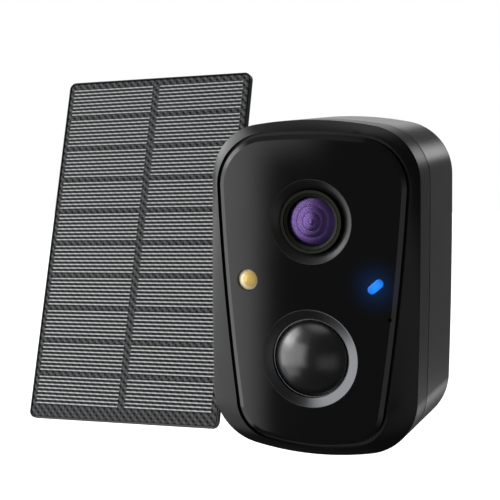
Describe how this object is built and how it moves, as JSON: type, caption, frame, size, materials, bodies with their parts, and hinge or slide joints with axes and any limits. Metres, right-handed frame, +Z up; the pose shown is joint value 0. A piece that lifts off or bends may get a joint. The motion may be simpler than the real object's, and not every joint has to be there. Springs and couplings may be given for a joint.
{
  "type": "solar-powered security camera",
  "caption": "Battery security camera with a shield-shaped glass front and a small solar panel, each on its own tilting arm of a shared round wall bracket.",
  "frame": {"origin": "centre of the wall plate's back face", "axes": "+Z up, -Y out of the wall towards the viewer, +X to the viewer's right; the camera is on the +X side and the panel on the -X side"},
  "size_m": [0.1632, 0.1412, 0.127],
  "materials": {
    "housing_black": "satin moulded ABS",
    "cover_glass": "glossy black-backed glass",
    "adhesive": "foam tape",
    "trim_black": "satin black",
    "trim_silver": "fine turned",
    "barrel_metal": "black anodised",
    "lens_glass": "coated optical glass",
    "filter_glass": "coated filter glass",
    "inner_plastic": "moulded",
    "sensor_chip": "glass-covered chip",
    "circuit_board": "green solder mask",
    "shield_metal": "tinned sheet",
    "copper_foil": "foil on film",
    "light_lens": "clear moulded",
    "phosphor": "phosphor",
    "status_light": "lit light guide",
    "dome_smoke": "smoked polyethylene",
    "seal_rubber": "silicone rubber",
    "cell_sleeve": "shrink sleeve",
    "button_red": "moulded",
    "button_white": "moulded",
    "brass_insert": "turned",
    "screw_steel": "black zinc",
    "panel_film": "textured laminate",
    "silicon_cell": "printed silicon",
    "bracket_black": "glass-filled nylon"
  },
  "bodies": {
    "bracket": {"wall_plate": "bracket_black", "camera_arm": "bracket_black", "panel_arm": "bracket_black", "bracket_bolts": "screw_steel"},
    "pan_knob_camera": {"pan_knob_camera": "bracket_black"},
    "pan_knob_panel": {"pan_knob_panel": "bracket_black"},
    "camera_swivel": {"camera_swivel": "bracket_black", "camera_tilt_bolt": "screw_steel"},
    "camera_tilt_knob": {"camera_tilt_knob": "bracket_black"},
    "camera_head": {"camera_head": "bracket_black"},
    "camera_lock_ring": {"camera_lock_ring": "bracket_black"},
    "panel_swivel": {"panel_swivel": "bracket_black", "panel_tilt_bolt": "screw_steel"},
    "panel_tilt_knob": {"panel_tilt_knob": "bracket_black"},
    "panel_head": {"panel_head": "bracket_black"},
    "panel_lock_ring": {"panel_lock_ring": "bracket_black"},
    "filter_carriage": {"filter_carriage": "inner_plastic", "filter_glass": "filter_glass"},
    "reset_button": {"reset_button": "button_red"},
    "power_button": {"power_button": "button_white"},
    "memory_card": {"memory_card": "inner_plastic"},
    "port_cover": {"port_cover": "seal_rubber"},
    "panel": {"panel_sheet": "panel_film", "solar_cells": "silicon_cell", "panel_board": "circuit_board", "panel_shell": "housing_black", "junction_box": "housing_black", "cable_gland": "seal_rubber", "panel_insert": "brass_insert", "panel_screws": "screw_steel"},
    "camera": {"front_bezel": "housing_black", "front_glass": "cover_glass", "glass_tape": "adhesive", "lens_trim_ring": "trim_black", "pir_trim_ring": "trim_silver", "lens_barrel": "barrel_metal", "front_lens": "lens_glass", "inner_lenses": "lens_glass", "lens_holder": "inner_plastic", "image_sensor": "sensor_chip", "main_board": "circuit_board", "processor": "shield_metal", "wifi_module": "shield_metal", "wifi_antenna": "copper_foil", "led_board": "circuit_board", "spotlight_lens": "light_lens", "light_emitters": "phosphor", "status_light_pipe": "status_light", "microphone": "seal_rubber", "pir_lens": "dome_smoke", "pir_sensor": "shield_metal", "seal_ring": "seal_rubber", "rear_housing": "housing_black", "battery_cells": "cell_sleeve", "battery_tray": "inner_plastic", "speaker": "inner_plastic", "usb_port": "shield_metal", "card_slot": "shield_metal", "camera_insert": "brass_insert", "housing_screws": "screw_steel"}
  },
  "joints": [
    {"name": "camera_pan", "type": "hinge", "parent": "bracket", "child": "camera_swivel", "pos_m": [0.046, -0.0534, 0], "axis": [0, 0, 1], "range_deg": [-15, 60]},
    {"name": "camera_tilt", "type": "hinge", "parent": "camera_swivel", "child": "camera_head", "pos_m": [0.046, -0.0714, 0], "axis": [1, 0, 0], "range_deg": [-45, 45]},
    {"name": "camera_roll", "type": "hinge", "parent": "camera_head", "child": "camera", "pos_m": [0.046, -0.0824, 0], "axis": [0, 1, 0], "range_deg": [-90, 90]},
    {"name": "camera_lock_ring_turn", "type": "hinge", "parent": "camera_head", "child": "camera_lock_ring", "pos_m": [0.046, -0.0847, 0], "axis": [0, 1, 0], "continuous": true},
    {"name": "camera_pan_knob_turn", "type": "hinge", "parent": "bracket", "child": "pan_knob_camera", "pos_m": [0.046, -0.0534, 0.012], "axis": [0, 0, 1], "continuous": true},
    {"name": "camera_tilt_knob_turn", "type": "hinge", "parent": "camera_swivel", "child": "camera_tilt_knob", "pos_m": [0.058, -0.0714, 0], "axis": [1, 0, 0], "continuous": true},
    {"name": "panel_pan", "type": "hinge", "parent": "bracket", "child": "panel_swivel", "pos_m": [-0.0413, -0.0209, 0], "axis": [0, 0, 1], "range_deg": [-45, 5]},
    {"name": "panel_tilt", "type": "hinge", "parent": "panel_swivel", "child": "panel_head", "pos_m": [-0.04281, -0.03884, 0], "axis": [0.9965, -0.0837, 0], "range_deg": [-30, 19.3]},
    {"name": "panel_turn", "type": "hinge", "parent": "panel_head", "child": "panel", "pos_m": [-0.04367, -0.04918, 0.00364], "axis": [0.079, 0.9405, -0.3305], "range_deg": [-5, 90]},
    {"name": "panel_lock_ring_turn", "type": "hinge", "parent": "panel_head", "child": "panel_lock_ring", "pos_m": [-0.04386, -0.05135, 0.0044], "axis": [0.079, 0.9405, -0.3305], "continuous": true},
    {"name": "panel_pan_knob_turn", "type": "hinge", "parent": "bracket", "child": "pan_knob_panel", "pos_m": [-0.0413, -0.0209, 0.012], "axis": [0, 0, 1], "continuous": true},
    {"name": "panel_tilt_knob_turn", "type": "hinge", "parent": "panel_swivel", "child": "panel_tilt_knob", "pos_m": [-0.03085, -0.03984, 0], "axis": [0.9965, -0.0837, 0], "continuous": true},
    {"name": "port_cover_flip", "type": "hinge", "parent": "camera", "child": "port_cover", "pos_m": [0.0634, -0.111, -0.0473], "axis": [0, -1, 0], "range_deg": [0, 100]},
    {"name": "memory_card_eject", "type": "slide", "parent": "camera", "child": "memory_card", "axis": [0, 0, -1], "range_m": [0, 0.0018]},
    {"name": "reset_button_press", "type": "slide", "parent": "camera", "child": "reset_button", "axis": [0, 0, 1], "range_m": [0, 0.0008], "stiffness_N_per_m": 400, "springref_m": -0.0002},
    {"name": "power_button_press", "type": "slide", "parent": "camera", "child": "power_button", "axis": [0, 0, 1], "range_m": [0, 0.0008], "stiffness_N_per_m": 400, "springref_m": -0.0002},
    {"name": "filter_switch", "type": "slide", "parent": "camera", "child": "filter_carriage", "axis": [-1, 0, 0], "range_m": [0, 0.007]}
  ]
}
